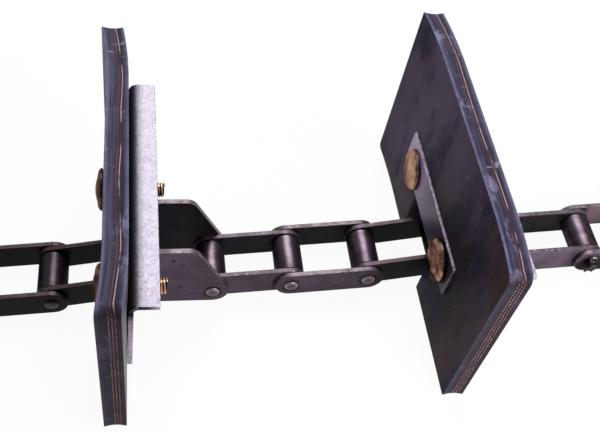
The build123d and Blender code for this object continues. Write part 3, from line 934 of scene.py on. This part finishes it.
def steel_angle():
    """Press-bent sheet angle: a deep leg up the back of the paddle and a short flange."""
    bm = bmesh.new()
    leg_x = PADDLE_REAR + ANGLE_T / 2
    place = Matrix.Translation((leg_x, 0, ANGLE_BOTTOM))
    made = bmesh.ops.create_grid(bm, x_segments=1, y_segments=1, size=1, matrix=place)["verts"]
    bmesh.ops.scale(bm, vec=(ANGLE_T / 2, ANGLE_HALF, 1), verts=made,
                    space=Matrix.Translation((-leg_x, 0, -ANGLE_BOTTOM)))
    bend_z = ANGLE_TOP - ANGLE_T - ANGLE_BEND_R
    bend_x = ANGLE_REAR + ANGLE_BEND_R
    top = pull(bm, bm.faces[:][0], (0, 0, bend_z - ANGLE_BOTTOM))
    top = swing(bm, top, (bend_x, 0, bend_z), (0, 1, 0), pi / 2, BEND_FACETS)
    pull(bm, top, (ANGLE_FLANGE_X - bend_x, 0, 0))
    bmesh.ops.recalc_face_normals(bm, faces=bm.faces)
    break_edges(bm, ANGLE_BREAK, sharp_edges(bm))
    return bm


def flat_strap():
    bm = bmesh.new()
    place = Matrix.Translation((PADDLE_FRONT - STRAP_T / 2, 0, BOLT_Z + STRAP_RISE))
    size = Matrix.Diagonal((STRAP_T, 2 * STRAP_HALF, STRAP_DEPTH, 1))
    bmesh.ops.create_cube(bm, size=1, matrix=place @ size)
    break_edges(bm, STRAP_BREAK, sharp_edges(bm))
    bm.normal_update()
    for face in bm.faces:
        face.material_index = 0 if abs(face.normal.x) > 0.9 else 1
    return bm


def bolts():
    """Elevator bolts: a wide low dome with a blunt rim that stands clear of the strap, a square neck and a
    thread."""
    bm = bmesh.new()
    crown = HEAD_H - HEAD_RIM
    ball_r = (HEAD_R ** 2 + crown ** 2) / (2 * crown)
    full = asin(HEAD_R / ball_r)
    # The low dome is blunted into an ellipse towards its rim.
    dome = [(ball_r * sin(full * i / 14), ball_r * (1 - cos(full * i / 14))) for i in range(9)]
    start_r, start_y = dome.pop()
    dome += [(start_r + (HEAD_R - start_r) * sin(pi * i / 16),
              start_y + (crown - start_y) * (1 - cos(pi * i / 16))) for i in range(9)]
    under = [(HEAD_R - 0.1, crown + 0.3), (HEAD_R - 0.5, crown + 0.45), (HEAD_R - 3.0, HEAD_H), (0, HEAD_H)]
    along_x = Matrix.Rotation(-pi / 2, 4, "Z")
    for side in (-1, 1):
        head = Matrix.Translation((STRAP_FRONT - HEAD_H, side * BOLT_Y, BOLT_Z))
        revolve(bm, dome + under, HEAD_FACETS, head @ along_x)
        neck = Matrix.Translation((STRAP_FRONT + NECK_LENGTH / 2, side * BOLT_Y, BOLT_Z))
        bmesh.ops.create_cube(bm, size=1, matrix=neck @ Matrix.Diagonal((NECK_LENGTH, NECK, NECK, 1)))
        shank(bm, side * BOLT_Y)
    return bm


def shank(bm, y):
    """The round shank, and a helical ridge round its reduced end for the thread."""
    thread_start = WING_REAR + 1.0
    outline = [(0, STRAP_FRONT), (BOLT_R, STRAP_FRONT), (BOLT_R, thread_start - 1.0),
               (THREAD_ROOT_R, thread_start - 0.2), (THREAD_ROOT_R, BOLT_END - 0.3),
               (THREAD_ROOT_R - 0.25, BOLT_END), (0, BOLT_END)]
    turn = Matrix.Translation((0, y, BOLT_Z)) @ Matrix.Rotation(-pi / 2, 4, "Z")
    before = set(bm.faces)
    revolve(bm, outline, SHANK_FACETS, turn)
    half = THREAD_PITCH * 0.46
    turns = round((BOLT_END - 0.7 - thread_start) / THREAD_PITCH)
    profile = [(THREAD_ROOT_R - 0.1, -half), (BOLT_R, -half * 0.3), (BOLT_R, half * 0.3),
               (THREAD_ROOT_R - 0.1, half)]
    ridge = bm.faces.new([bm.verts.new((thread_start + along, y, BOLT_Z + r)) for r, along in profile])
    steps = 24 * turns
    bmesh.ops.spin(bm, geom=[ridge], cent=(0, y, BOLT_Z), axis=(1, 0, 0), angle=2 * pi * turns, steps=steps,
                   dvec=(THREAD_PITCH * turns / steps, 0, 0))
    for face in bm.faces:
        if face not in before and face.calc_center_median().x > thread_start - 1.0:
            face.material_index = 1


def nuts():
    """Hexagon nuts with both faces chamfered round."""
    bm = bmesh.new()
    lying = Matrix.Rotation(pi / 2, 4, "Y")
    for side in (-1, 1):
        before = set(bm.verts)
        rings = []
        for along, kind in ((0, "bore"), (0, "face"), (0, "hexagon"), (NUT_T, "hexagon"), (NUT_T, "face"),
                            (NUT_T, "bore")):
            ring = bmesh.ops.create_circle(bm, segments=NUT_FACETS, radius=NUT_FACE_R, matrix=lying)["verts"]
            for vert in ring:
                shape_nut_ring(vert, along, kind)
            rings.append([e for e in bm.edges if e.verts[0] in ring and e.verts[1] in ring])
        for first, second in zip(rings, rings[1:] + rings[:1]):
            bmesh.ops.bridge_loops(bm, edges=first + second)
        made = [v for v in bm.verts if v not in before]
        turn = Matrix.Translation((WING_REAR, side * BOLT_Y, BOLT_Z))
        bmesh.ops.transform(bm, matrix=turn, verts=made)
    return bm


def shape_nut_ring(vert, along, kind):
    """Moves one point of a circle to the nut's bore, its round chamfer or its hexagon."""
    angle = atan2(vert.co.z, vert.co.y)
    sector = (angle + pi) % (pi / 3) - pi / 6
    radius = {"bore": NUT_BORE_R, "face": NUT_FACE_R, "hexagon": NUT_FLATS / 2 / cos(sector)}[kind]
    drop = (radius - NUT_FACE_R) * 0.5 if kind == "hexagon" else 0.0
    inward = drop if along == 0 else -drop
    vert.co = (along + inward, radius * cos(angle), radius * sin(angle))


# Assembly

def pin_centres():
    """The pins' centres, where the rollers turn, from left to right."""
    spins = {j["name"]: Vector(j["pos_m"]) for j in frame["joints"] if j["name"].endswith("_spin")}
    return [spins[name] for name in sorted(spins)]


def link_place(left, right):
    tilt = atan2(right.z - left.z, right.x - left.x)
    return Matrix.Translation(left) @ Matrix.Rotation(-tilt, 4, "Y") @ Matrix.Scale(MM, 4)


def plate_pair(build, inside_y, link, place, front="front_plate"):
    """A plate behind and the same one mirrored in front."""
    for name in (front, "back_plate"):
        bm = build()
        bm.normal_update()
        paint_plate(bm, inside_y)
        if build is attachment_plate:
            paint_wing(bm)
        if "back" not in name:
            flip_to_front(bm)
        finishes = [PLATE_STEEL, INSIDE, INNER_EDGE if link.startswith("inner") else EDGE]
        make_piece(bm, f"{link}_{name}_steel", place, link, [f"{link}_{name}"], finishes)


def build_link(link, place):
    """Makes a link's pieces. What kind of link it is stands in its name."""
    def put(bm, ending, finishes, lean=Matrix.Identity(4)):
        make_piece(bm, f"{link}_{ending}_detailed", place @ lean, link, [f"{link}_{ending}"], finishes)

    if link.startswith("inner"):
        plate_pair(inner_plate, INNER_FACE, link, place)
        put(bushes(), "bushes", [BUSH_STEEL])
    elif link.startswith("outer"):
        plate_pair(outer_plate, OUTER_FACE, link, place)
        put(riveted_pins(), "pins", [PIN_STEEL])
    elif link.startswith("connecting"):
        plate_pair(outer_plate, OUTER_FACE, link, place, "loose_plate")
        put(cottered_pins(), "pins", [PIN_STEEL])
        put(cotters(), "cotters", [WIRE])
    else:
        plate_pair(attachment_plate, OUTER_FACE, link, place)
        put(riveted_pins(), "pins", [PIN_STEEL])
        put(paddle(), "paddle", [COVER, CUT, BACK_COVER], LEAN)
        put(steel_angle(), "angle", [ZINC_SHEET], LEAN)
        put(flat_strap(), "strap", [FLAT_BAR, BAR_EDGE], LEAN)
        put(bolts(), "bolts", [BOLT_ZINC, THREAD_ZINC], LEAN)
        put(nuts(), "nuts", [NUT_ZINC], LEAN)


def build_strand():
    pins = pin_centres()
    links = sorted((b for b in frame["bodies"] if "_link_" in b), key=lambda b: b[-2:])
    for link, left, right in zip(links, pins, pins[1:]):
        build_link(link, link_place(left, right))
    for number, centre in enumerate(pins, start=1):
        name = f"roller_{number:02d}"
        place = Matrix.Translation(centre) @ Matrix.Scale(MM, 4)
        make_piece(roller(), f"{name}_detailed", place, name, [name], [ROLLER_STEEL])


build_strand()


# Floor, light and camera

FLOOR_GLOW = 0.94
ROOM_LIGHT = 0.16
ROOM_SEEN = 1.1
CAMERA_AZIMUTH = 10.212
CAMERA_ELEVATION = 52.451
CAMERA_ROLL = 4.136
CAMERA_AIM = (-0.00931, 0.03448, 0.0)
CAMERA_REACH = 0.48788
LENS = 50.954


def background_rays(tree):
    """1 for rays of the camera, and of gloss and glass, which show the background."""
    path = add(tree, "LightPath", {}, None)
    seen = add(tree, "Math", {0: path["Is Camera Ray"], 1: path["Is Glossy Ray"]}, operation="MAXIMUM")
    return add(tree, "Math", {0: seen, 1: path["Is Transmission Ray"]}, operation="MAXIMUM")


def floor():
    """A pale matt sweep that shows white and keeps a soft shadow."""
    bm = bmesh.new()
    bmesh.ops.create_grid(bm, x_segments=1, y_segments=1, size=6.0)
    mesh = bpy.data.meshes.new("floor")
    bm.to_mesh(mesh)
    bm.free()
    sweep = in_scene("floor", mesh)
    material = bpy.data.materials.new("matt_white_sweep")
    material.use_nodes = True
    tree = material.node_tree
    tree.nodes.clear()
    background = background_rays(tree)
    tone = add(tree, "Mix", {0: background, 6: "#7d7b80", 7: "#f2f2f2"}, 2, data_type="RGBA")
    paint = add(tree, "BsdfDiffuse", {"Color": tone})
    white = add(tree, "Emission", {"Color": "#ffffff", "Strength": 1.0})
    share = add(tree, "Math", {0: background, 1: FLOOR_GLOW}, operation="MULTIPLY")
    mixed = add(tree, "MixShader", {0: share, 1: paint, 2: white})
    add(tree, "OutputMaterial", {"Surface": mixed}, None)
    mesh.materials.append(material)


def world():
    """A dim even room that is white where the camera sees it, past the floor's edge."""
    made = bpy.data.worlds.new("studio")
    bpy.context.scene.world = made
    made.use_nodes = True
    tree = made.node_tree
    tree.nodes.clear()
    seen = add(tree, "LightPath", {}, "Is Camera Ray")
    strength = add(tree, "Mix", {0: seen, 2: ROOM_LIGHT, 3: ROOM_SEEN}, data_type="FLOAT")
    room = add(tree, "Background", {"Color": "#f0f0f6", "Strength": strength})
    add(tree, "OutputWorld", {"Surface": room}, None)


def softbox(name, place, width, height, power, target=(0, 0, 0.02)):
    """A rectangular lamp that faces a target."""
    light = bpy.data.lights.new(name, "AREA")
    light.shape = "RECTANGLE"
    light.size = width
    light.size_y = height
    light.energy = power
    lamp = in_scene(name, light)
    lamp.location = place
    lamp.rotation_euler = (Vector(target) - Vector(place)).to_track_quat("-Z", "Y").to_euler()


def camera():
    made = bpy.data.cameras.new("camera")
    made.lens = LENS
    made.sensor_width = 36.0
    made.clip_start = 0.01
    viewer = in_scene("camera", made)
    turn = (Matrix.Rotation(-radians(CAMERA_AZIMUTH), 4, "Z")
            @ Matrix.Rotation(radians(90 - CAMERA_ELEVATION), 4, "X")
            @ Matrix.Rotation(radians(CAMERA_ROLL), 4, "Z"))
    viewer.matrix_world = Matrix.Translation(CAMERA_AIM) @ turn @ Matrix.Translation((0, 0, CAMERA_REACH))
    bpy.context.scene.camera = viewer


floor()
world()
softbox("top_softbox", (0.14, 0.78, 1.03), 0.7, 0.6, 17.0)
softbox("front_softbox", (0.17, -0.32, 0.2), 0.16, 0.16, 1.0, target=(0.02, 0, 0.01))
softbox("right_softbox", (0.46, -0.26, 0.14), 0.2, 0.2, 1.9, target=(0.16, 0, 0.02))
softbox("left_softbox", (-0.7, 0.5, 0.5), 0.5, 0.5, 0.4)
camera()
bpy.context.scene.view_settings.view_transform = "Standard"
